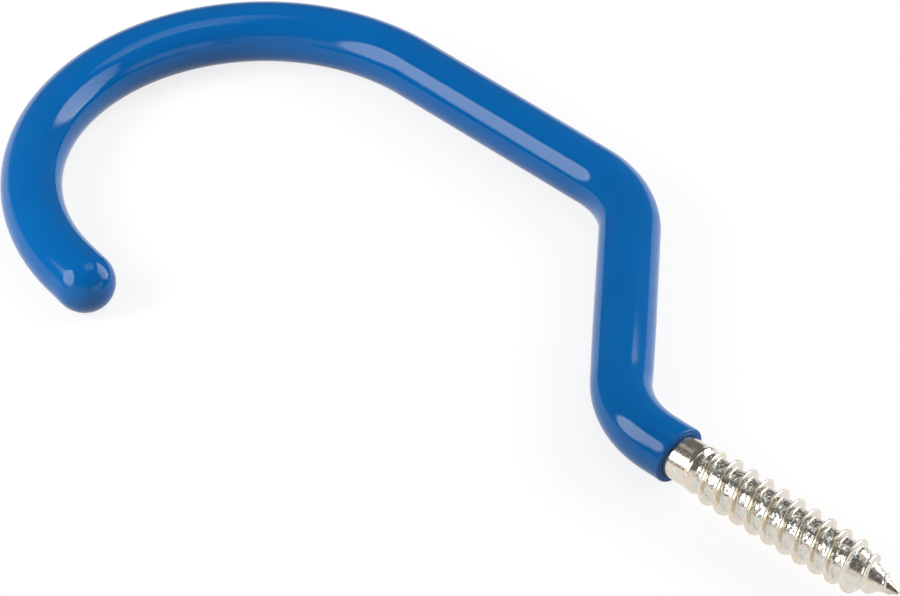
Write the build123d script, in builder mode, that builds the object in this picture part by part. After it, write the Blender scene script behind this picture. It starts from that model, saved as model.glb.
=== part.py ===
"""Bicycle storage hook: a bent steel rod with a lag-screw thread, inside a blue vinyl sleeve.

The hook lies flat in the XY plane. The origin is on the screw's axis at the sleeve's mouth, +X points
along the screw to its point, +Y is the side that the dogleg steps to, and +Z is the hook's thin way.
"""
from math import atan, cos, degrees, radians, sin, tan
import os

from build123d import *

# Driving dimensions, in millimetres and degrees

# Rod and sleeve
rod_diameter = 7.94            # 5/16 inch bar
sleeve_diameter = 10.8         # outside of the vinyl
sleeve_gap = 0.05              # all round the rod, inside the sleeve
sleeve_tip_cover = 2.4         # vinyl past the rod's end
mouth_rim_radius = 0.5         # outer edge of the sleeve's cut end
mouth_lead_in = 0.25           # chamfer of the bore at the cut end

# Route of the rod, from the sleeve's mouth to the tip, measured on the centreline
mouth_straight = 4.5           # from the mouth to the first bend
dogleg_offset = 42.6           # from the screw's axis to the hook's straight back
dogleg_angle = 50.8            # turn of each dogleg bend
bend_radius = 18.4             # centreline radius of each dogleg bend
back_straight = 42.8           # from the dogleg to the hook
hook_inside_diameter = 68.4    # clear width between the sleeve's inner sides
hook_turn = 170.0              # how far the hook bends round
tip_straight = 4.2             # from the hook's bend to the sleeve's dome
rod_end_reach = 3.2            # how far the rod goes into the dome
rod_end_chamfer = 1.2

# Screw
shank_length = 4.8             # plain rod from the mouth to the thread's run-out
runout_length = 4.7            # where the thread rises from the shank
threaded_length = 28.5         # full thread, from the run-out to the gimlet point
gimlet_length = 8.0            # tapered point
gimlet_foot_radius = 0.3       # of the thread's foot where it stops on the point
point_radius = 0.2             # blunt end of the point
thread_major_diameter = 9.5
thread_root_diameter = 7.1
thread_pitch = 3.3
thread_crest_width = 0.5
thread_flank_angle = 30.0      # each flank, from square to the axis
thread_seat = 0.3              # how deep the ridge is sunk into the core and, at its start, the shank
thread_phase = 0.0             # angle of the full thread's start, from +Y round the axis

# Dependent dimensions
rod_radius = rod_diameter / 2
sleeve_radius = sleeve_diameter / 2
bore_radius = rod_radius + sleeve_gap
tip_dome_length = rod_end_reach + sleeve_tip_cover
hook_radius = hook_inside_diameter / 2 + sleeve_radius
dogleg_rise_in_bends = 2 * bend_radius * (1 - cos(radians(dogleg_angle)))
dogleg_straight = (dogleg_offset - dogleg_rise_in_bends) / sin(radians(dogleg_angle))
root_radius = thread_root_diameter / 2
major_radius = thread_major_diameter / 2
thread_height = major_radius - root_radius
runout_start = shank_length
thread_start = runout_start + runout_length
gimlet_start = thread_start + threaded_length
screw_length = gimlet_start + gimlet_length
runout_slope = (major_radius - rod_radius + thread_seat) / runout_length
gimlet_slope = major_radius / gimlet_length
gimlet_thread_length = (root_radius - thread_seat - gimlet_foot_radius) / gimlet_slope
gimlet_phase = thread_phase + 360 * threaded_length / thread_pitch


def screw_place(x, phase, heading):
    """Place on the screw's axis at x, with its X at the phase angle and its Z along the heading."""
    spoke = (0, cos(radians(phase)), sin(radians(phase)))
    return Plane(origin=(x, 0, 0), x_dir=spoke, z_dir=(heading, 0, 0)).location


def thread_ridge(length, slope):
    """One stretch of the thread's ridge round the Z axis, from the X axis up to its length.

    It sinks towards the axis by the slope for each mm along it. Its profile stands in the XZ plane, so
    that stretches that start at one place share one face there.
    """
    taper = atan(slope)
    crest_half_width = thread_crest_width / 2
    foot_half_width = crest_half_width + (thread_height + thread_seat) * tan(radians(thread_flank_angle))
    with BuildPart() as ridge:
        with BuildLine() as path:
            Helix(
                pitch=thread_pitch / cos(taper),
                height=length,
                radius=root_radius,
                cone_angle=-degrees(taper),
            )
        with BuildSketch(Plane(origin=path.line @ 0, x_dir=(0, 0, 1), z_dir=(0, 1, 0))):
            with BuildLine():
                Polyline(
                    (-crest_half_width, thread_height),
                    (crest_half_width, thread_height),
                    (foot_half_width, -thread_seat),
                    (-foot_half_width, -thread_seat),
                    close=True,
                )
            make_face()
        sweep(path=path.line, is_frenet=True)
    return ridge.part


def rod_end_profile(radius, reach):
    """Half profile of the rod's chamfered end, along X from the start of the dome."""
    with BuildSketch() as profile:
        with BuildLine():
            Polyline(
                (0, 0),
                (reach, 0),
                (reach, radius - rod_end_chamfer),
                (reach - rod_end_chamfer, radius),
                (0, radius),
                close=True,
            )
        make_face()
    return profile.sketch


# Centreline, from the sleeve's mouth to the start of its domed tip
with BuildLine() as centreline:
    mouth_run = Line((0, 0), (-mouth_straight, 0))
    first_bend = JernArc(mouth_run @ 1, mouth_run % 1, bend_radius, -dogleg_angle)
    dogleg_run = PolarLine(first_bend @ 1, dogleg_straight, direction=first_bend % 1)
    second_bend = JernArc(dogleg_run @ 1, dogleg_run % 1, bend_radius, dogleg_angle)
    back_run = PolarLine(second_bend @ 1, back_straight, direction=second_bend % 1)
    hook_bend = JernArc(back_run @ 1, back_run % 1, hook_radius, hook_turn)
    tip_run = PolarLine(hook_bend @ 1, tip_straight, direction=hook_bend % 1)

tip_centre = tip_run @ 1
tip_direction = tip_run % 1
mouth_plane = Plane(origin=(0, 0, 0), x_dir=(0, 1, 0), z_dir=(-1, 0, 0))
tip_plane = Plane(origin=tip_centre, x_dir=tip_direction, z_dir=(0, 0, 1))
tip_axis = Axis(tip_centre, tip_direction)

# Steel hook
with BuildPart() as steel_hook:
    # Bent rod
    with BuildSketch(mouth_plane):
        Circle(rod_radius)
    sweep(path=centreline.line)
    # Chamfered end inside the sleeve's dome
    with BuildSketch(tip_plane):
        add(rod_end_profile(rod_radius, rod_end_reach))
    revolve(axis=tip_axis)
    # Shank, thread core and gimlet point
    with BuildSketch(Plane.XY):
        with BuildLine():
            Polyline(
                (0, 0),
                (0, rod_radius),
                (runout_start, rod_radius),
                (thread_start, root_radius),
                (gimlet_start, root_radius),
                (screw_length, point_radius),
                (screw_length, 0),
                close=True,
            )
        make_face()
    revolve(axis=Axis.X)
    # Thread: the run-out on the shank, the full turns and the turns on the gimlet point
    with Locations(screw_place(thread_start, thread_phase, -1)):
        add(thread_ridge(runout_length, runout_slope))
    with Locations(screw_place(thread_start, thread_phase, 1)):
        add(thread_ridge(threaded_length, 0))
    with Locations(screw_place(gimlet_start, gimlet_phase, 1)):
        add(thread_ridge(gimlet_thread_length, gimlet_slope))

# Vinyl sleeve
with BuildPart() as vinyl_sleeve:
    with BuildSketch(mouth_plane):
        Circle(sleeve_radius)
    sweep(path=centreline.line)
    # Domed tip
    with BuildSketch(tip_plane):
        with BuildLine():
            EllipticalCenterArc((0, 0), tip_dome_length, sleeve_radius, start_angle=0, arc_size=90)
            Line((0, sleeve_radius), (0, 0))
            Line((0, 0), (tip_dome_length, 0))
        make_face()
    revolve(axis=tip_axis)
    mouth_rim = vinyl_sleeve.edges().filter_by(GeomType.CIRCLE).sort_by(Axis.X)[-1]
    fillet(mouth_rim, mouth_rim_radius)
    # Bore, which follows the rod to its end
    with BuildSketch(mouth_plane):
        Circle(bore_radius)
    sweep(path=centreline.line, mode=Mode.SUBTRACT)
    with BuildSketch(tip_plane):
        add(rod_end_profile(bore_radius, rod_end_reach + sleeve_gap))
    revolve(axis=tip_axis, mode=Mode.SUBTRACT)
    mouth_edges = vinyl_sleeve.edges().filter_by(GeomType.CIRCLE).group_by(Axis.X)[-1]
    chamfer(mouth_edges.sort_by(SortBy.RADIUS)[0], mouth_lead_in)

# Finished pieces
os.makedirs("parts", exist_ok=True)
steel_hook.part.label = "steel_hook"
export_step(steel_hook.part, "parts/steel_hook.step")
vinyl_sleeve.part.label = "vinyl_sleeve"
export_step(vinyl_sleeve.part, "parts/vinyl_sleeve.step")
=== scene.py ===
"""Looks of a bicycle storage hook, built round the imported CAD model.

Everything is in the CAD model's frame: the origin is on the screw's axis at the sleeve's mouth, +X points
along the screw to its point, and +Z is the hook's thin way. The pieces' sizes are given in millimetres and
degrees, as a maker's drawing has them, and their meshes are in metres. The studio's distances are given in
metres. The hook lies on a pale studio floor.
"""

import logging
from dataclasses import dataclass, field
from enum import Enum

import bpy
import numpy as np
from mathutils import Matrix, Vector

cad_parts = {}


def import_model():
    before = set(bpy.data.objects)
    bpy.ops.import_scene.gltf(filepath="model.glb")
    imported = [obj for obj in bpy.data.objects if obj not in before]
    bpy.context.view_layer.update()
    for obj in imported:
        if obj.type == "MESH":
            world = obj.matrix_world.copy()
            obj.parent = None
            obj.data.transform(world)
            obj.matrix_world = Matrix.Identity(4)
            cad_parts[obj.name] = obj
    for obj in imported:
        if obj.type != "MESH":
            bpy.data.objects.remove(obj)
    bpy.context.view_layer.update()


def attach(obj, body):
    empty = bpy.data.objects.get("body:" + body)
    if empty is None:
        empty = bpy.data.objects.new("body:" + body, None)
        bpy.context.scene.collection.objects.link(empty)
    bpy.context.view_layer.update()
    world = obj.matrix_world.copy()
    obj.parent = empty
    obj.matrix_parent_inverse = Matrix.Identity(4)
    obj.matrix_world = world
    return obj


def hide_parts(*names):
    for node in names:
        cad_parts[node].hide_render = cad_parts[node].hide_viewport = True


Tree = bpy.types.NodeTree
Socket = bpy.types.NodeSocket

MM = 0.001
PHOTO_WIDTH = 900
WHITE = (1.0, 1.0, 1.0, 1.0)

# The Mix node repeats its sockets' names for each kind of data, so its colours go by number
FIRST_COLOUR, SECOND_COLOUR, MIXED_COLOUR = 6, 7, 2

log = logging.getLogger("storage_hook")


class Piece(Enum):
    """Names of the pieces that are built here."""

    HOOK = "bent_steel_hook"
    SLEEVE = "blue_vinyl_sleeve"
    FLOOR = "studio_floor"


class RingOrder(Enum):
    """Which way a ring's points run round the rod, so that the faces point outwards.

    On an outside, rows that go towards the rod's tip need points that run from the left up, and rows that
    come from it need points that run the other way.
    """

    TOWARDS_TIP = 1
    FROM_TIP = -1


class Shader(Enum):
    """Kinds of node that the finishes and lamps use."""

    PRINCIPLED = "ShaderNodeBsdfPrincipled"
    DIFFUSE = "ShaderNodeBsdfDiffuse"
    EMISSION = "ShaderNodeEmission"
    ADD = "ShaderNodeAddShader"
    OUTPUT = "ShaderNodeOutputMaterial"
    LIGHT_OUTPUT = "ShaderNodeOutputLight"
    LIGHT_PATH = "ShaderNodeLightPath"
    COORDINATES = "ShaderNodeTexCoord"
    GEOMETRY = "ShaderNodeNewGeometry"
    ATTRIBUTE = "ShaderNodeAttribute"
    NOISE = "ShaderNodeTexNoise"
    RAMP = "ShaderNodeValToRGB"
    MIX_COLOUR = "ShaderNodeMix"
    RANGE = "ShaderNodeMapRange"
    MATHS = "ShaderNodeMath"
    SPLIT = "ShaderNodeSeparateXYZ"
    BUMP = "ShaderNodeBump"
    VECTOR = "ShaderNodeVectorMath"


# Small tools


def linear(hex_colour: str) -> tuple[float, float, float, float]:
    """Turns an sRGB hex colour into the linear colour that the shaders take.

    Args:
        hex_colour: six hex digits, with or without a leading #.

    Returns:
        Red, green and blue from 0 to 1, and an alpha of 1.
    """
    digits = hex_colour.lstrip("#")
    srgb = np.array([int(digits[k:k + 2], 16) for k in (0, 2, 4)]) / 255
    light = np.where(srgb <= 0.04045, srgb / 12.92, ((srgb + 0.055) / 1.055) ** 2.4)
    return (*(float(v) for v in light), 1.0)


def per_metre(size_mm: float) -> float:
    """Scale of a noise whose grains are about this many millimetres across."""
    return 1 / (size_mm * MM)


def add_node(
    tree: Tree,
    kind: Shader,
    settings: dict[str, object] | None = None,
    values: dict[str | int, object] | None = None,
    links: dict[str | int, Socket] | None = None,
) -> bpy.types.Node:
    """Adds one node to a tree, with its settings and what goes into its sockets.

    Args:
        tree: the material's or lamp's node tree.
        kind: the kind of node.
        settings: the node's own properties, by name.
        values: constants for its input sockets, by name or number.
        links: output sockets that feed its input sockets, by name or number.

    Returns:
        The new node.
    """
    node = tree.nodes.new(kind.value)
    for name, value in (settings or {}).items():
        setattr(node, name, value)
    for socket, value in (values or {}).items():
        node.inputs[socket].default_value = value
    for socket, source in (links or {}).items():
        tree.links.new(source, node.inputs[socket])
    return node


def set_stops(ramp: bpy.types.ColorRamp, stops: tuple[tuple[float, str], ...]) -> None:
    """Gives a new colour ramp its stops.

    Args:
        ramp: the ramp, with the two stops that it starts with.
        stops: two or more places from 0 to 1, in order, each with an sRGB hex colour.
    """
    while len(ramp.elements) < len(stops):
        ramp.elements.new(0.5)
    for element, (place, colour) in zip(ramp.elements, stops):
        element.position = place
        element.color = linear(colour)


def new_material(name: str) -> bpy.types.Material:
    """Makes a node material with no nodes in it.

    Args:
        name: the material's name.

    Returns:
        The material.
    """
    material = bpy.data.materials.new(name)
    material.use_nodes = True
    material.node_tree.nodes.clear()
    return material


def softly_least(a: np.ndarray, b: np.ndarray, rounding: float) -> np.ndarray:
    """The lesser of two heights, with the corner between them rounded.

    Formula: half of the sum less the square root of the difference squared plus the rounding squared.

    Args:
        a: heights in millimetres.
        b: heights in millimetres.
        rounding: how far apart the two are where the corner is about gone, in millimetres.

    Returns:
        Heights in millimetres.
    """
    return (a + b - np.sqrt((a - b) ** 2 + rounding ** 2)) / 2


def softly_most(a: np.ndarray, b: np.ndarray, rounding: float) -> np.ndarray:
    """The greater of two heights, with the corner between them rounded as softly_least does."""
    return -softly_least(-a, -b, rounding)


def ease(x: np.ndarray, start: float, end: float) -> np.ndarray:
    """Rises smoothly from 0 at start to 1 at end: three times t squared less twice t cubed."""
    t = np.clip((x - start) / (end - start), 0, 1)
    return t * t * (3 - 2 * t)


def ring_angles(columns: int, order: RingOrder) -> np.ndarray:
    """Angles of a ring's points in radians, in equal steps from the left round a whole turn."""
    return order.value * 2 * np.pi * np.arange(columns) / columns


def closed_tube(
    name: str, rings: np.ndarray, first_pole: np.ndarray, last_pole: np.ndarray, crisp: tuple[int, ...] = ()
) -> bpy.types.Mesh:
    """Makes a closed mesh from rings of points, with a fan of triangles at each end.

    Rows of quads join each ring to the next and wrap round it. Each fan closes an end to its pole.

    Args:
        name: the mesh's name.
        rings: points in metres, in an array of rings by points by 3.
        first_pole: the point that closes the first ring.
        last_pole: the point that closes the last ring.
        crisp: numbers of the rings that are crisp edges.

    Returns:
        The mesh, with smooth faces that point outwards.
    """
    rows, columns = rings.shape[:2]
    number = np.arange(rows * columns).reshape(rows, columns)
    beside = np.roll(number, -1, axis=1)
    quads = np.stack([number[:-1], beside[:-1], beside[1:], number[1:]], axis=-1).reshape(-1, 4)
    first, last = rows * columns, rows * columns + 1
    first_fan = np.stack([np.full(columns, first), beside[0], number[0]], axis=-1)
    last_fan = np.stack([number[-1], beside[-1], np.full(columns, last)], axis=-1)
    points = np.vstack([rings.reshape(-1, 3), first_pole, last_pole])
    mesh = bpy.data.meshes.new(name)
    mesh.from_pydata(points.tolist(), [], quads.tolist() + first_fan.tolist() + last_fan.tolist())
    mesh.polygons.foreach_set("use_smooth", np.ones(len(mesh.polygons), bool))
    mesh.update()
    ends = np.empty(2 * len(mesh.edges), int)
    mesh.edges.foreach_get("vertices", ends)
    row = ends.reshape(-1, 2) // columns
    sharp = (row[:, 0] == row[:, 1]) & np.isin(row[:, 0], crisp)
    mesh.attributes.new("sharp_edge", "BOOLEAN", "EDGE").data.foreach_set("value", sharp)
    return mesh


def mark_points(mesh: bpy.types.Mesh, name: str, marks: np.ndarray) -> None:
    """Gives each point of a mesh a number that its finish reads.

    Args:
        mesh: the mesh.
        name: the attribute's name.
        marks: a number for each point, in the mesh's order.
    """
    mesh.attributes.new(name, "FLOAT", "POINT").data.foreach_set("value", marks.astype(np.float32))


def add_piece(piece: Piece, mesh: bpy.types.Mesh, material: bpy.types.Material) -> bpy.types.Object:
    """Puts a finished mesh in the scene at the origin, with its material.

    Args:
        piece: the piece that the mesh is.
        mesh: its mesh, in its place.
        material: its material.

    Returns:
        The new object.
    """
    mesh.materials.append(material)
    made = bpy.data.objects.new(piece.value, mesh)
    bpy.context.scene.collection.objects.link(made)
    return made


# Route of the rod


def chord(along: np.ndarray, turned: np.ndarray, heading: np.ndarray) -> np.ndarray:
    """Steps in the plane along arcs that start at a heading and turn as they go.

    Formula: the step goes along the mean heading, and its length is the arc's times the sine of half the
    turn over half the turn.

    Args:
        along: lengths of the arcs in millimetres.
        turned: angles that they turn through to the left in radians, 0 for a straight.
        heading: directions of their starts in radians from +X.

    Returns:
        Steps in millimetres, by 2.
    """
    length = along * np.sinc(turned / (2 * np.pi))
    middle = heading + turned / 2
    return np.stack([length * np.cos(middle), length * np.sin(middle)], axis=-1)


@dataclass(frozen=True)
class RodRoute:
    """Centreline of the bent rod, from the sleeve's mouth to the start of its domed tip.

    The run is in millimetres from the mouth. Runs below 0 lie on the screw's axis.
    """

    mouth_straight: float = 4.5
    dogleg_offset: float = 42.6
    dogleg_angle: float = 50.8
    bend_radius: float = 18.4
    back_straight: float = 42.8
    hook_radius: float = 39.6
    hook_turn: float = 170.0
    tip_straight: float = 4.2

    def stretches(self) -> np.ndarray:
        """Lengths and turns of the route's straights and bends.

        The dogleg's straight makes up what its two bends leave of the offset: the offset less twice
        the bend radius times one less the cosine of the angle, over the sine of the angle.

        Returns:
            Rows of a length in millimetres and a turn to the left in radians.
        """
        bend, turn = np.radians(self.dogleg_angle), np.radians(self.hook_turn)
        rise_in_bends = 2 * self.bend_radius * (1 - np.cos(bend))
        dogleg_straight = (self.dogleg_offset - rise_in_bends) / np.sin(bend)
        return np.array([
            (self.mouth_straight, 0.0),
            (self.bend_radius * bend, -bend),
            (dogleg_straight, 0.0),
            (self.bend_radius * bend, bend),
            (self.back_straight, 0.0),
            (self.hook_radius * turn, turn),
            (self.tip_straight, 0.0),
        ])

    @property
    def length(self) -> float:
        """Length of the whole route in millimetres."""
        return float(self.stretches()[:, 0].sum())

    def at(self, run: np.ndarray) -> tuple[np.ndarray, np.ndarray]:
        """Points of the centreline and the directions across it.

        Each point is one chord from the start of the stretch that it is in, and the stretches' starts
        are the sums of the whole chords before them.

        Args:
            run: distances from the mouth in millimetres.

        Returns:
            Points in millimetres, and unit vectors to the left of the heading, both by 3.
        """
        lengths, turns = self.stretches().T
        starts = np.concatenate([[0.0], np.cumsum(lengths)])
        headings = np.pi + np.concatenate([[0.0], np.cumsum(turns)])
        steps = chord(lengths, turns, headings[:-1])
        joins = np.vstack([np.zeros(2), np.cumsum(steps, axis=0)])
        which = np.clip(np.searchsorted(starts, run, side="right") - 1, 0, len(lengths) - 1)
        along = run - starts[which]
        turned = turns[which] * along / lengths[which]
        flat = joins[which] + chord(along, turned, headings[which])
        heading = headings[which] + turned
        still = np.zeros_like(run)
        points = np.stack([flat[:, 0], flat[:, 1], still], axis=-1)
        left = np.stack([-np.sin(heading), np.cos(heading), still], axis=-1)
        return points, left

    def rings(self, run: np.ndarray, radius: np.ndarray, angle: np.ndarray) -> np.ndarray:
        """Rings of points round the centreline.

        Formula: the centreline's point, plus the radius times the cosine of the angle to the left,
        plus the radius times the sine of the angle upwards.

        Args:
            run: distances from the mouth in millimetres, rings by points.
            radius: distances from the centreline in millimetres, rings by points.
            angle: angles from the left towards +Z in radians, rings by points.

        Returns:
            Points in metres, rings by points by 3.
        """
        points, left = self.at(run.ravel())
        shape = (*run.shape, 3)
        up = np.array([0.0, 0.0, 1.0])
        across = np.cos(angle)[..., None] * left.reshape(shape) + np.sin(angle)[..., None] * up
        return MM * (points.reshape(shape) + radius[..., None] * across)


# Finishes


@dataclass(frozen=True)
class BrightZincPlate:
    """Bright zinc electroplate with a clear chromate film, on a drawn and rolled mild-steel rod.

    Zinc gives a slightly warm, bluish-white metal. The film adds faint pink, straw and green tints, and
    the plate's fine unevenness breaks reflections into mottled patches. In the thread's roots, where the
    plating current is weak, the plate is greyer, with smooth lumps and matt spots. Towards the point it
    is thin, and the steel's brown comes through.

    A span gives the two values between which something goes from one look to the other: of the depth,
    heights on the thread from 0 at the root to 1 at the crest, and of the others, a noise's values. The
    real plate's grain is much finer than 0.16 mm, and is drawn this coarse so that it shows.
    """

    plain: str = "E6DFD6"
    straw: str = "E2D4BE"
    pink: str = "E5CFC8"
    green: str = "C8D6CA"
    roots: str = "CFD3CE"
    roots_share: float = 0.5
    worn: str = "B09C88"
    worn_from_mm: float = 43.5
    worn_to_mm: float = 46.5
    tint_mm: float = 0.9
    mottle_mm: float = 0.5
    grain_mm: float = 0.16
    lump_mm: float = 0.75
    drawn: tuple[float, float, float] = (0.12, 1.0, 1.0)
    depth_span: tuple[float, float] = (0.05, 0.6)
    smoothest: float = 0.12
    roughest: float = 0.3
    rough_span: tuple[float, float] = (0.35, 0.68)
    root_roughness: float = 0.26
    root_rough_span: tuple[float, float] = (0.48, 0.6)
    drawing_height_mm: float = 0.003
    lump_height_mm: float = 0.12
    grain_height_mm: float = 0.004

    def depth(self, tree: Tree) -> Socket:
        """Adds the nodes for how deep a place is in the thread: 1 at the root, 0 from over half its height.

        Args:
            tree: the material's node tree.

        Returns:
            The socket that gives it.
        """
        height = add_node(tree, Shader.ATTRIBUTE, settings={"attribute_name": ThreadedHook.HEIGHT})
        low, high = self.depth_span
        depth = add_node(
            tree, Shader.RANGE, settings={"clamp": True},
            values={"From Min": low, "From Max": high, "To Min": 1.0, "To Max": 0.0},
            links={"Value": height.outputs["Fac"]},
        )
        return depth.outputs["Result"]

    def colour(self, tree: Tree, place: Socket, tint: Socket, depth: Socket) -> Socket:
        """Adds the nodes for the film's patches of tint, greyer in the roots and browner towards the point.

        Args:
            tree: the material's node tree.
            place: where a place is on the piece, in metres.
            tint: the noise that places the tints.
            depth: how deep the place is in the thread.

        Returns:
            The socket that gives the colour.
        """
        film = add_node(tree, Shader.RAMP, links={"Fac": tint})
        tints = ((0.30, self.green), (0.44, self.plain), (0.56, self.straw), (0.70, self.pink))
        set_stops(film.color_ramp, tints)
        greyer = add_node(
            tree, Shader.MATHS, settings={"operation": "MULTIPLY"}, values={1: self.roots_share},
            links={0: depth},
        )
        plate = add_node(
            tree, Shader.MIX_COLOUR, settings={"data_type": "RGBA"},
            values={SECOND_COLOUR: linear(self.roots)},
            links={0: greyer.outputs["Value"], FIRST_COLOUR: film.outputs["Color"]},
        )
        axes = add_node(tree, Shader.SPLIT, links={"Vector": place})
        thinner = add_node(
            tree, Shader.RANGE, settings={"clamp": True},
            values={"From Min": self.worn_from_mm * MM, "From Max": self.worn_to_mm * MM},
            links={"Value": axes.outputs["X"]},
        )
        plate = add_node(
            tree, Shader.MIX_COLOUR, settings={"data_type": "RGBA"},
            values={SECOND_COLOUR: linear(self.worn)},
            links={0: thinner.outputs["Result"], FIRST_COLOUR: plate.outputs[MIXED_COLOUR]},
        )
        return plate.outputs[MIXED_COLOUR]

    def roughness(self, tree: Tree, mottle: Socket, depth: Socket) -> Socket:
        """Adds the nodes for the mottled roughness of the whole plate, plus the matt spots' in the roots.

        Args:
            tree: the material's node tree.
            mottle: the noise that places both.
            depth: how deep a place is in the thread.

        Returns:
            The socket that gives the roughness.
        """
        low, high = self.rough_span
        mottled = add_node(
            tree, Shader.RANGE,
            values={"From Min": low, "From Max": high, "To Min": self.smoothest, "To Max": self.roughest},
            links={"Value": mottle},
        )
        low, high = self.root_rough_span
        spots = add_node(
            tree, Shader.RANGE, values={"From Min": low, "From Max": high, "To Max": self.root_roughness},
            links={"Value": mottle},
        )
        both = add_node(
            tree, Shader.MATHS, settings={"operation": "MULTIPLY_ADD"},
            links={0: spots.outputs["Result"], 1: depth, 2: mottled.outputs["Result"]},
        )
        return both.outputs["Value"]

    def relief(self, tree: Tree, noises: dict[str, Socket], depth: Socket) -> Socket:
        """Adds the nodes for drawing marks, the roots' smooth lumps and the grain, one on the other.

        Args:
            tree: the material's node tree.
            noises: the noises that place them, as drawing, lumps and grain.
            depth: how deep a place is in the thread.

        Returns:
            The socket that gives the surface's direction.
        """
        drawing = add_node(
            tree, Shader.BUMP, values={"Strength": 1.0, "Distance": self.drawing_height_mm * MM},
            links={"Height": noises["drawing"]},
        )
        lumps = add_node(
            tree, Shader.BUMP, values={"Distance": self.lump_height_mm * MM},
            links={"Height": noises["lumps"], "Strength": depth, "Normal": drawing.outputs["Normal"]},
        )
        grain = add_node(
            tree, Shader.BUMP, values={"Strength": 1.0, "Distance": self.grain_height_mm * MM},
            links={"Height": noises["grain"], "Normal": lumps.outputs["Normal"]},
        )
        return grain.outputs["Normal"]

    def material(self) -> bpy.types.Material:
        """Makes the material. The screw lies along X, so the marks of drawing are stretched that way.

        Returns:
            The material.
        """
        material = new_material("bright_zinc_electroplate")
        tree = material.node_tree
        place = add_node(tree, Shader.COORDINATES).outputs["Object"]
        along = add_node(
            tree, Shader.VECTOR, settings={"operation": "MULTIPLY"}, values={1: self.drawn},
            links={0: place},
        ).outputs["Vector"]
        noises = {}
        for name, vector, size_mm, detail, fineness in (
            ("tint", place, self.tint_mm, 3.0, 0.6),
            ("mottle", place, self.mottle_mm, 4.0, 0.6),
            ("drawing", along, self.mottle_mm, 4.0, 0.6),
            ("lumps", place, self.lump_mm, 1.0, 0.4),
            ("grain", place, self.grain_mm, 3.0, 0.6),
        ):
            noise = add_node(
                tree, Shader.NOISE, links={"Vector": vector},
                values={"Scale": per_metre(size_mm), "Detail": detail, "Roughness": fineness},
            )
            noises[name] = noise.outputs["Fac"]
        depth = self.depth(tree)
        metal = add_node(
            tree, Shader.PRINCIPLED, values={"Metallic": 1.0},
            links={
                "Base Color": self.colour(tree, place, noises["tint"], depth),
                "Roughness": self.roughness(tree, noises["mottle"], depth),
                "Normal": self.relief(tree, noises, depth),
            },
        )
        add_node(tree, Shader.OUTPUT, links={"Surface": metal.outputs["BSDF"]})
        return material


@dataclass(frozen=True)
class DipMouldedVinyl:
    """Glossy blue soft PVC, dip-moulded from plastisol.

    Fused plastisol gives a smooth, poured-looking gloss with crisp highlights over a deep even blue. Its
    pigment clouds very slightly, and a little light gets under its thin edges. Where the sleeve was cut
    there is no poured skin: the vinyl is matt there, and its deeper blue is painted shade, for the
    shadowed gap round the rod at the mouth. A span gives the two values of a noise between which
    something goes from one look to the other.
    """

    blue: str = "0065AE"
    deeper: str = "0061A9"
    cloud_mm: float = 14.0
    cloud_span: tuple[float, float] = (0.35, 0.65)
    smoothest: float = 0.06
    roughest: float = 0.10
    haze_mm: float = 1.6
    haze_span: tuple[float, float] = (0.3, 0.7)
    wave_mm: float = 7.0
    wave_height_mm: float = 0.02
    # Painted shade: a deeper blue on the cut face, for the shadowed gap round the rod at the mouth
    shaded_cut: str = "00529A"
    cut_roughness: float = 0.5
    refraction: float = 1.5
    specular: float = 0.27
    glow: float = 0.12
    glow_mm: float = 0.6
    glow_of_each_colour: tuple[float, float, float] = (0.3, 0.6, 1.0)

    def material(self) -> bpy.types.Material:
        """Makes the material.

        Returns:
            The material.
        """
        material = new_material("dip_moulded_blue_vinyl")
        tree = material.node_tree
        place = add_node(tree, Shader.COORDINATES).outputs["Object"]
        noises = {}
        for name, size_mm, detail, fineness in (
            ("cloud", self.cloud_mm, 4.0, 0.6),
            ("haze", self.haze_mm, 3.0, 0.6),
            ("wave", self.wave_mm, 1.0, 0.4),
        ):
            noise = add_node(
                tree, Shader.NOISE, links={"Vector": place},
                values={"Scale": per_metre(size_mm), "Detail": detail, "Roughness": fineness},
            )
            noises[name] = noise.outputs["Fac"]
        clouds = add_node(tree, Shader.RAMP, links={"Fac": noises["cloud"]})
        low, high = self.cloud_span
        set_stops(clouds.color_ramp, ((low, self.deeper), (high, self.blue)))
        low, high = self.haze_span
        skin = add_node(
            tree, Shader.RANGE,
            values={"From Min": low, "From Max": high, "To Min": self.smoothest, "To Max": self.roughest},
            links={"Value": noises["haze"]},
        )
        # The sleeve's mark is 0 on the poured skin and 1 where it was cut. Where it is 1, it mixes in the
        # deeper blue, which is painted shade, and a matt roughness
        shaded_cut = add_node(tree, Shader.ATTRIBUTE, settings={"attribute_name": VinylSleeve.SHADED_CUT}).outputs["Fac"]
        colour = add_node(
            tree, Shader.MIX_COLOUR, settings={"data_type": "RGBA"},
            values={SECOND_COLOUR: linear(self.shaded_cut)},
            links={0: shaded_cut, FIRST_COLOUR: clouds.outputs["Color"]},
        )
        roughness = add_node(
            tree, Shader.RANGE, values={"To Max": self.cut_roughness},
            links={"Value": shaded_cut, "To Min": skin.outputs["Result"]},
        )
        surface = add_node(
            tree, Shader.BUMP, values={"Strength": 1.0, "Distance": self.wave_height_mm * MM},
            links={"Height": noises["wave"]},
        )
        vinyl = add_node(
            tree, Shader.PRINCIPLED,
            values={
                "IOR": self.refraction,
                "Specular IOR Level": self.specular,
                "Subsurface Weight": self.glow,
                "Subsurface Radius": self.glow_of_each_colour,
                "Subsurface Scale": self.glow_mm * MM,
            },
            links={
                "Base Color": colour.outputs[MIXED_COLOUR],
                "Roughness": roughness.outputs["Result"],
                "Normal": surface.outputs["Normal"],
            },
        )
        add_node(tree, Shader.OUTPUT, links={"Surface": vinyl.outputs["BSDF"]})
        return material


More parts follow.
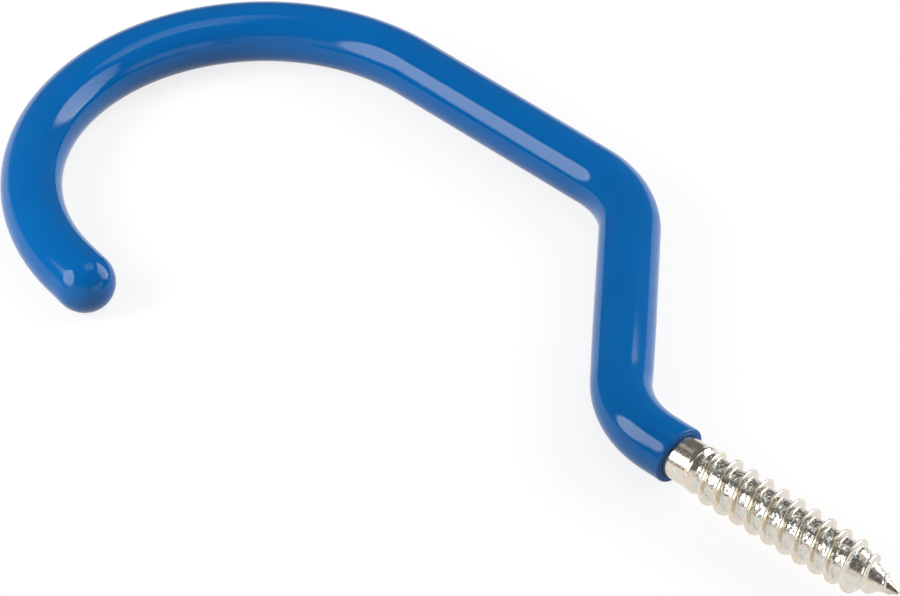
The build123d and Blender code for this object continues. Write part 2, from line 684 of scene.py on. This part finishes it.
@dataclass(frozen=True)
class StudioPaper:
    """Matt studio paper, lit up to white for the camera and in reflections, with the object's shadow on it.

    Its own colour is a middle grey, so that it sends little light back up under the object.
    """

    colour: str = "888888"
    white: float = 0.8

    def material(self) -> bpy.types.Material:
        """Makes the material.

        Returns:
            The material.
        """
        material = new_material("white_studio_paper")
        tree = material.node_tree
        path = add_node(tree, Shader.LIGHT_PATH)
        seen = path.outputs["Is Camera Ray"]
        for ray in ("Is Glossy Ray", "Is Transmission Ray"):
            seen = add_node(
                tree, Shader.MATHS, settings={"operation": "MAXIMUM"}, links={0: seen, 1: path.outputs[ray]}
            ).outputs["Value"]
        strength = add_node(
            tree, Shader.MATHS, settings={"operation": "MULTIPLY"}, values={1: self.white}, links={0: seen}
        )
        paper = add_node(tree, Shader.DIFFUSE, values={"Color": linear(self.colour)})
        white = add_node(
            tree, Shader.EMISSION, values={"Color": WHITE}, links={"Strength": strength.outputs["Value"]}
        )
        both = add_node(tree, Shader.ADD, links={0: paper.outputs["BSDF"], 1: white.outputs["Emission"]})
        add_node(tree, Shader.OUTPUT, links={"Surface": both.outputs["Shader"]})
        return material


# Pieces


@dataclass
class ThreadedHook:
    """The bent steel rod with its rolled lag-screw thread, as one closed surface.

    Its radius is a height function of the place along the rod and the angle round it. Places on the screw
    are in millimetres from the sleeve's mouth.
    """

    route: RodRoute
    finish: BrightZincPlate = field(default_factory=BrightZincPlate)
    rod_radius: float = 3.97
    # Where the shank, the full thread and the gimlet end or start
    shank_length: float = 4.8
    thread_start: float = 9.5
    gimlet_start: float = 38.0
    screw_length: float = 46.0
    # Radii and shape of the thread
    major_radius: float = 4.7
    last_crest_radius: float = 4.47
    root_radius: float = 3.55
    point_radius: float = 0.28
    pitch: float = 3.3
    crest_width: float = 0.34
    flank_angle: float = 23.0
    crest_rounding: float = 0.2
    root_rounding: float = 0.1
    # Makes up for what the rounding takes off the crest
    crest_lift: float = 0.04
    # Collar that the rolling dies push up, measured from its place: its rise, width and the cone after it
    collar_place: float = 4.45
    collar_height: float = 0.2
    collar_skew: float = 0.3
    collar_turn: float = 180.0
    collar_half_rise: float = 0.35
    collar_width: float = 0.6
    cone_end: float = 1.6
    cone_depth: float = 0.27
    # Core: its start past the shank, and how far before the full thread and the gimlet it changes slope
    core_lead: float = 1.2
    core_settling: float = 1.5
    core_tapering: float = 0.3
    # Ridge: its start and first height past the shank, how nearly full it is before the full thread, and
    # how far before the gimlet its crest starts to get lower
    ridge_lead: float = 0.6
    first_ridge_lead: float = 1.6
    first_ridge_height: float = 0.33
    ridge_settling: float = 1.3
    ridge_shortfall: float = 0.05
    crest_lowering: float = 9.0
    # The rod's end inside the sleeve
    end_reach: float = 3.2
    end_chamfer: float = 1.2
    # Points of a ring, and distances between rings, which are wide where the sleeve hides the rod
    columns: int = 120
    thread_row: float = 0.09
    shank_row: float = 0.25
    rod_row: float = 2.0
    row_margin: float = 1.0
    point_row: float = 0.04
    # The height that the finish takes for the whole gimlet, whose core tapers
    gimlet_height: float = 0.25

    HEIGHT = "thread_height"

    def runs(self) -> np.ndarray:
        """Runs of the rings from the screw's point on.

        The close rows of the thread and of the shank each go on by a margin past their end.

        Returns:
            Runs in millimetres, below 0 on the screw.
        """
        shank = self.row_margin - self.shank_length
        return np.concatenate([
            np.arange(self.point_row - self.screw_length, shank, self.thread_row),
            np.arange(shank, self.row_margin, self.shank_row),
            np.arange(self.row_margin, self.route.length, self.rod_row),
            [self.route.length],
        ])

    def core(self, x: np.ndarray, turn: np.ndarray) -> np.ndarray:
        """Radius of the shank and of the core that the ridge stands on.

        The collar's place swings along the shank by the skew times the sine of the angle past the
        collar's turn. Up to its rise the shank has the rod's radius, over the rise it gains the collar's
        height, keeps it for the collar's width, and then falls in a straight cone to below the rod. The
        core goes in straight lines from that radius to the root's, on to the gimlet, and to the point.
        The greater of the two counts.

        Args:
            x: places on the screw's axis in millimetres from the mouth.
            turn: angles from +Y towards +Z in turns.

        Returns:
            Radii in millimetres.
        """
        swing = np.sin(2 * np.pi * turn - np.radians(self.collar_turn))
        place = self.collar_place + self.collar_skew * swing
        collar = np.interp(
            x - place,
            [-self.collar_half_rise, self.collar_half_rise, self.collar_width, self.cone_end],
            [0.0, self.collar_height, self.collar_height, -self.cone_depth],
        )
        shank = np.where(x < place + self.cone_end, self.rod_radius + collar, 0.0)
        places = [
            self.shank_length + self.core_lead,
            self.thread_start - self.core_settling,
            self.gimlet_start - self.core_tapering,
            self.screw_length,
        ]
        radii = [self.rod_radius - self.cone_depth, self.root_radius, self.root_radius, self.point_radius]
        return np.maximum(np.interp(x, places, radii), shank)

    def crest(self, x: np.ndarray) -> np.ndarray:
        """Radius of the ridge's crest, in straight lines from place to place.

        It rises fast to the first ridge and slowly to the full thread, keeps that height, gets a little
        lower over the last turns, and goes down the gimlet to the point.

        Args:
            x: places on the screw's axis in millimetres from the mouth.

        Returns:
            Radii in millimetres.
        """
        places = [
            self.shank_length + self.ridge_lead,
            self.shank_length + self.first_ridge_lead,
            self.thread_start - self.ridge_settling,
            self.thread_start,
            self.gimlet_start - self.crest_lowering,
            self.gimlet_start,
            self.screw_length,
        ]
        radii = [
            self.root_radius,
            self.rod_radius + self.first_ridge_height,
            self.major_radius - self.ridge_shortfall,
            self.major_radius,
            self.major_radius,
            self.last_crest_radius,
            self.point_radius,
        ]
        return np.interp(x, places, radii)

    def radius(self, x: np.ndarray, turn: np.ndarray) -> np.ndarray:
        """Radius of the screw at a place on its axis and an angle round it.

        The thread's crest is where the place less the pitch times the turns is a whole number of pitches
        from the thread's start. The ridge falls away from it along straight flanks: by the distance past
        half the crest's width, over the tangent of the flank angle. It stands on the core, and its crest
        and root are rounded.

        Args:
            x: places on the screw's axis in millimetres from the mouth.
            turn: angles from +Y towards +Z in turns.

        Returns:
            Radii in millimetres.
        """
        crest = self.crest(x)
        past = x - self.thread_start - self.pitch * turn
        off_crest = np.abs((past + self.pitch / 2) % self.pitch - self.pitch / 2)
        flank = crest + (self.crest_width / 2 - off_crest) / np.tan(np.radians(self.flank_angle))
        ridge = softly_least(crest + self.crest_lift, flank + self.crest_lift, self.crest_rounding)
        return softly_most(self.core(x, turn), ridge, self.root_rounding)

    def height(self, run: np.ndarray, radius: np.ndarray) -> np.ndarray:
        """How high a place stands on the thread, for the finish.

        Formula: the radius less the root's, over the major radius less the root's. The rod and its shank
        count as 1, and the gimlet has one height of its own.

        Args:
            run: distances from the mouth in millimetres.
            radius: radii in millimetres.

        Returns:
            Heights, 0 at the root and 1 at the crest.
        """
        height = (radius - self.root_radius) / (self.major_radius - self.root_radius)
        bare, gimlet = -run < self.shank_length, -run > self.gimlet_start
        return np.select([bare, gimlet], [1.0, self.gimlet_height], height)

    def mesh(self) -> bpy.types.Mesh:
        """Builds the surface and marks how high each point stands on the thread.

        Returns:
            The mesh, with the heights as a point attribute.
        """
        angle = ring_angles(self.columns, RingOrder.TOWARDS_TIP)
        run, turned = np.meshgrid(self.runs(), angle, indexing="ij")
        # On the screw +Y is to the right of the heading, so the angle from it is half a turn less this one
        turn = (0.5 - turned / (2 * np.pi)) % 1
        radius = np.where(run < 0, self.radius(-run, turn), self.rod_radius)
        end_runs = self.route.length + np.array([self.end_reach - self.end_chamfer, self.end_reach])
        end_radii = np.array([self.rod_radius, self.rod_radius - self.end_chamfer])
        end_run, end_turned = np.meshgrid(end_runs, angle, indexing="ij")
        end_radius = np.repeat(end_radii[:, None], self.columns, axis=1)
        rings = np.vstack([
            self.route.rings(run, radius, turned),
            self.route.rings(end_run, end_radius, end_turned),
        ])
        poles, _ = self.route.at(np.array([-self.screw_length, self.route.length + self.end_reach]))
        mesh = closed_tube(Piece.HOOK.value, rings, MM * poles[0], MM * poles[1])
        end_marks = np.ones(end_run.size + len(poles))
        mark_points(mesh, self.HEIGHT, np.concatenate([self.height(run, radius).ravel(), end_marks]))
        return mesh

    def build(self) -> bpy.types.Object:
        """Makes the piece, which stands for the CAD hook.

        Returns:
            The new object.
        """
        hook = add_piece(Piece.HOOK, self.mesh(), self.finish.material())
        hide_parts("steel_hook")
        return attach(hook, "root")


@dataclass
class VinylSleeve:
    """The dip-moulded sleeve: a tube that follows the rod, with a domed tip and a cut, rounded mouth."""

    route: RodRoute
    finish: DipMouldedVinyl = field(default_factory=DipMouldedVinyl)
    radius: float = 5.4
    bore_radius: float = 4.02
    dome_length: float = 5.6
    bore_reach: float = 3.25
    bore_chamfer: float = 1.2
    # Mouth: its outer rim, whose first part keeps the poured skin, and the bore's chamfer
    rim_radius: float = 0.35
    rim_skin: float = 0.6
    lead_in: float = 0.12
    # Wall: what it lacks from the mouth to full_thinning, and has again from thinning_length on
    mouth_thinning: float = 0.22
    full_thinning: float = 10.2
    thinning_length: float = 34.0
    # Cut: how far out of square it is, towards which angle from +Y, and how far in that is felt
    cut_skew: float = 0.45
    cut_skew_towards: float = 35.0
    skew_length: float = 7.0
    # Points of a ring, and the rings of each part, which are wide apart in the hidden bore
    columns: int = 112
    dome_rings: int = 36
    dome_first_swing: float = 2.5
    rim_rings: int = 9
    row: float = 0.8
    bore_row: float = 2.0
    bore_row_start: float = 1.0

    SHADED_CUT = "shaded_cut_vinyl"

    def outline(self) -> tuple[np.ndarray, np.ndarray, int]:
        """The sleeve's half section, from its dome along the outside, round the rim and up the bore.

        The dome is a quarter of an ellipse: its run is the dome's length times the cosine of an angle,
        its radius the sleeve's radius times the sine. The rim is a quarter of a circle.

        Returns:
            Runs from the mouth and radii, in millimetres, and the number of the cut face's inner ring.
        """
        end = self.route.length
        swing = np.radians(np.linspace(self.dome_first_swing, 90, self.dome_rings))
        arc = np.radians(np.linspace(0, 90, self.rim_rings))
        tube = np.arange(end - self.row, self.rim_radius + self.row / 2, -self.row)
        bore = np.arange(self.lead_in + self.bore_row_start, end, self.bore_row)
        runs = np.concatenate([
            end + self.dome_length * np.cos(swing),
            tube,
            self.rim_radius * (1 - np.sin(arc)),
            [0.0, self.lead_in],
            bore,
            [end, end + self.bore_reach - self.bore_chamfer, end + self.bore_reach],
        ])
        radii = np.concatenate([
            self.radius * np.sin(swing),
            np.full_like(tube, self.radius),
            self.radius - self.rim_radius * (1 - np.cos(arc)),
            [self.bore_radius + self.lead_in, self.bore_radius],
            np.full_like(bore, self.bore_radius),
            [self.bore_radius, self.bore_radius, self.bore_radius - self.bore_chamfer],
        ])
        return runs, radii, len(swing) + len(tube) + len(arc)

    def mesh(self) -> bpy.types.Mesh:
        """Builds the surface. Near the mouth the wall is a little thinner, and the cut isn't quite square.

        Formula: the outside's radius is less by the thinning, eased out along the sleeve. A ring's run
        is less by the skew times the cosine of the angle from the skew's, eased out in the same way.

        Returns:
            The mesh, with the cut face and the bore marked 1 and the poured skin 0, as a point attribute.
            The finish paints shade and sets a matt roughness where it is 1.
        """
        runs, radii, mouth = self.outline()
        # The cut face and the bore, which the finish gives painted shade and a matt roughness
        shaded_cut = (radii < self.radius - self.rim_skin * self.rim_radius) & (runs < self.route.length)
        outside = np.arange(len(runs)) < mouth
        regained = ease(runs, self.full_thinning, self.thinning_length)
        thinning = self.mouth_thinning * outside * (1 - regained)
        angle = ring_angles(self.columns, RingOrder.FROM_TIP)
        run, turned = np.meshgrid(runs, angle, indexing="ij")
        radius = np.repeat((radii - thinning)[:, None], self.columns, axis=1)
        # The same angle from +Y towards +Z as on the screw
        from_y = np.pi - turned
        leans = self.cut_skew * np.cos(from_y - np.radians(self.cut_skew_towards))
        run = run - leans * (1 - ease(run, 0, self.skew_length))
        rings = self.route.rings(run, radius, turned)
        end = self.route.length
        poles, _ = self.route.at(np.array([end + self.dome_length, end + self.bore_reach]))
        crisp = (mouth, mouth + 1)
        mesh = closed_tube(Piece.SLEEVE.value, rings, MM * poles[0], MM * poles[1], crisp)
        mark_points(mesh, self.SHADED_CUT, np.concatenate([np.repeat(shaded_cut, self.columns), [False, True]]))
        return mesh

    def build(self) -> bpy.types.Object:
        """Makes the piece, which stands for the CAD sleeve.

        Returns:
            The new object.
        """
        sleeve = add_piece(Piece.SLEEVE, self.mesh(), self.finish.material())
        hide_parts("vinyl_sleeve")
        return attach(sleeve, "root")


# Studio


def axes_from(azimuth: float, elevation: float) -> tuple[Vector, Vector, Vector]:
    """Axes of a lamp or camera that looks at the hook from one side.

    The side's direction is the sine of the azimuth times the cosine of the elevation, less the cosine
    of the azimuth times that of the elevation, and the sine of the elevation.

    Args:
        azimuth: degrees from -Y towards +X.
        elevation: degrees up from the floor.

    Returns:
        Unit vectors to its right, up in its view, and back to where it stands.
    """
    a, e = np.radians(azimuth), np.radians(elevation)
    back = Vector((np.sin(a) * np.cos(e), -np.cos(a) * np.cos(e), np.sin(e)))
    right = Vector((0, 0, 1)).cross(back).normalized()
    return right, back.cross(right), back


def stand(centre: Vector, distance: float, back: Vector, axes: tuple[Vector, Vector, Vector]) -> Matrix:
    """Where a lamp or camera stands, some metres back from a centre, and how its own three axes lie."""
    return Matrix.Translation(centre + distance * back) @ Matrix(axes).transposed().to_4x4()


@dataclass(frozen=True)
class Softbox:
    """A lamp behind diffusion cloth, or a pale card that throws its light back.

    Its azimuth and elevation are seen from the hook's middle. Its lit shape goes from a rectangle, at a
    roundness near 0, to an ellipse at 1.
    """

    name: str
    azimuth: float
    elevation: float
    distance: float
    width: float
    height: float
    radiance: float
    roll: float = 0.0
    swivel: float = 0.0
    slope_across: float = 0.0
    slope_up: float = 0.0
    roundness: float = 0.15
    edge: float = 0.12
    tint: str = "FFFFFF"

    def cloth(self, tree: Tree) -> Socket:
        """Adds the nodes for the brightness over the cloth.

        With u and v from -1 to 1 over it, the distance out is the sum of their sizes, each to the
        power of 2 over the roundness, to the power of half the roundness. The cloth fades smoothly
        over its edge, where that distance comes up to 1. Two slopes make one side brighter.

        Args:
            tree: the lamp's node tree.

        Returns:
            The socket that gives it, 1 on a plain cloth.
        """
        power = 2 / self.roundness
        over = add_node(tree, Shader.GEOMETRY).outputs["Parametric"]
        place = add_node(tree, Shader.SPLIT, links={"Vector": over})
        bounds = []
        slopes = []
        for axis, slope in (("X", self.slope_across), ("Y", self.slope_up)):
            side = add_node(
                tree, Shader.RANGE, values={"To Min": -1.0, "To Max": 1.0},
                links={"Value": place.outputs[axis]},
            )
            size = add_node(
                tree, Shader.MATHS, settings={"operation": "ABSOLUTE"}, links={0: side.outputs["Result"]}
            )
            bounds.append(add_node(
                tree, Shader.MATHS, settings={"operation": "POWER"}, values={1: power},
                links={0: size.outputs["Value"]},
            ))
            slopes.append(add_node(
                tree, Shader.RANGE, values={"To Min": 1 - slope, "To Max": 1 + slope},
                links={"Value": place.outputs[axis]},
            ))
        both = add_node(
            tree, Shader.MATHS, settings={"operation": "ADD"},
            links={0: bounds[0].outputs["Value"], 1: bounds[1].outputs["Value"]},
        )
        out = add_node(
            tree, Shader.MATHS, settings={"operation": "POWER"}, values={1: 1 / power},
            links={0: both.outputs["Value"]},
        )
        lit = add_node(
            tree, Shader.RANGE, settings={"interpolation_type": "SMOOTHSTEP"},
            values={"From Min": 1.0, "From Max": 1 - self.edge, "To Min": 0.0, "To Max": 1.0},
            links={"Value": out.outputs["Value"]},
        )
        sloped = add_node(
            tree, Shader.MATHS, settings={"operation": "MULTIPLY"},
            links={0: slopes[0].outputs["Result"], 1: slopes[1].outputs["Result"]},
        )
        glow = add_node(
            tree, Shader.MATHS, settings={"operation": "MULTIPLY"},
            links={0: lit.outputs["Result"], 1: sloped.outputs["Value"]},
        )
        return glow.outputs["Value"]

    def build(self, centre: Vector) -> bpy.types.Object:
        """Makes the lamp, turned to the hook and then rolled and swivelled.

        Args:
            centre: the point it is aimed from, in metres.

        Returns:
            The lamp.
        """
        right, up, back = axes_from(self.azimuth, self.elevation)
        roll = Matrix.Rotation(np.radians(self.roll), 3, back)
        right, up = roll @ right, roll @ up
        swivel = Matrix.Rotation(np.radians(self.swivel), 3, up)
        lamp = bpy.data.lights.new(self.name, "AREA")
        lamp.shape = "RECTANGLE"
        lamp.size, lamp.size_y = self.width, self.height
        lamp.energy = self.radiance * np.pi * self.width * self.height
        lamp.color = linear(self.tint)[:3]
        lamp.use_nodes = True
        tree = lamp.node_tree
        tree.nodes.clear()
        glow = add_node(tree, Shader.EMISSION, links={"Strength": self.cloth(tree)})
        add_node(tree, Shader.LIGHT_OUTPUT, links={"Surface": glow.outputs["Emission"]})
        made = bpy.data.objects.new(self.name, lamp)
        made.matrix_world = stand(centre, self.distance, back, (swivel @ right, up, swivel @ back))
        made.visible_camera = False
        bpy.context.scene.collection.objects.link(made)
        return made


@dataclass
class Studio:
    """The floor, lamps and camera round the hook."""

    floor_level_mm: float = -5.4
    floor_size: float = 16.0
    paper: StudioPaper = field(default_factory=StudioPaper)
    room: float = 0.15
    centre: Vector = field(default_factory=lambda: Vector((-0.055, 0.0, 0.0)))
    camera_azimuth: float = 42.834
    camera_elevation: float = 42.5
    camera_distance: float = 0.847736
    camera_target: Vector = field(default_factory=lambda: Vector((-0.053715, 0.002509, 0.0)))
    camera_focal_px: float = 5000.0
    camera_sensor_mm: float = 36.0
    camera_clips: tuple[float, float] = (0.01, 100.0)
    softboxes: tuple[Softbox, ...] = (
        Softbox(
            "softbox_right", azimuth=141.1, elevation=30.1, distance=1.13, width=1.312, height=0.797,
            radiance=3.9, roll=-23.6, swivel=56.0, slope_across=0.7, slope_up=-0.04,
        ),
        Softbox(
            "softbox_left", azimuth=317.3, elevation=40.7, distance=0.46, width=0.678, height=0.229,
            radiance=6.8, roll=-61.8, swivel=70.0, slope_across=-0.08, slope_up=-0.06, roundness=0.84,
        ),
        Softbox(
            "overhead_strip", azimuth=177.6, elevation=68.2, distance=0.60, width=0.568, height=0.30,
            radiance=1.85, roll=-110.0, swivel=-45.7, slope_across=0.14, slope_up=-0.21, edge=0.4,
        ),
        Softbox(
            "front_card", azimuth=20.0, elevation=8.0, distance=1.2, width=2.5, height=0.9,
            radiance=0.8, edge=0.5, tint="FFF6EA",
        ),
        Softbox(
            "side_card", azimuth=92.0, elevation=6.0, distance=1.1, width=1.3, height=0.7,
            radiance=1.3, edge=0.4,
        ),
    )

    def lay_floor(self) -> bpy.types.Object:
        """Makes the floor, which the hook lies on.

        Returns:
            The floor.
        """
        half, level = self.floor_size / 2, self.floor_level_mm * MM
        square = [(-half, -half, level), (half, -half, level), (half, half, level), (-half, half, level)]
        mesh = bpy.data.meshes.new(Piece.FLOOR.value)
        mesh.from_pydata(square, [], [(0, 1, 2, 3)])
        floor = add_piece(Piece.FLOOR, mesh, self.paper.material())
        return floor

    def dim_room(self) -> None:
        """Makes the world a plain dim grey, as the unlit room round the lamps."""
        world = bpy.data.worlds.new("dim_room")
        world.use_nodes = True
        background = world.node_tree.nodes["Background"]
        background.inputs["Color"].default_value = WHITE
        background.inputs["Strength"].default_value = self.room
        bpy.context.scene.world = world

    def set_camera(self) -> bpy.types.Object:
        """Makes the camera at the photograph's angle, with its lens worked out from the photograph's width.

        Formula: the lens is the sensor's width times the focal length in pixels, over the photograph's
        width in pixels.

        Returns:
            The camera.
        """
        right, up, back = axes_from(self.camera_azimuth, self.camera_elevation)
        data = bpy.data.cameras.new("photo_camera")
        data.sensor_fit = "HORIZONTAL"
        data.sensor_width = self.camera_sensor_mm
        data.lens = data.sensor_width * self.camera_focal_px / PHOTO_WIDTH
        data.clip_start, data.clip_end = self.camera_clips
        camera = bpy.data.objects.new("photo_camera", data)
        camera.matrix_world = stand(self.camera_target, self.camera_distance, back, (right, up, back))
        bpy.context.scene.collection.objects.link(camera)
        bpy.context.scene.camera = camera
        return camera

    def build(self) -> None:
        """Makes the whole studio, and sets the plain view of its colours."""
        self.lay_floor()
        self.dim_room()
        for softbox in self.softboxes:
            softbox.build(self.centre)
        self.set_camera()
        bpy.context.scene.view_settings.view_transform = "Standard"


def main() -> None:
    """Loads the frame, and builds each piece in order."""
    logging.basicConfig(level=logging.INFO, format="%(name)s: %(message)s")
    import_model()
    Studio().build()
    route = RodRoute()
    for sub_assembly in (ThreadedHook(route), VinylSleeve(route)):
        made = sub_assembly.build()
        log.info("%s: %d faces", made.name, len(made.data.polygons))


if __name__ == "__main__":
    main()
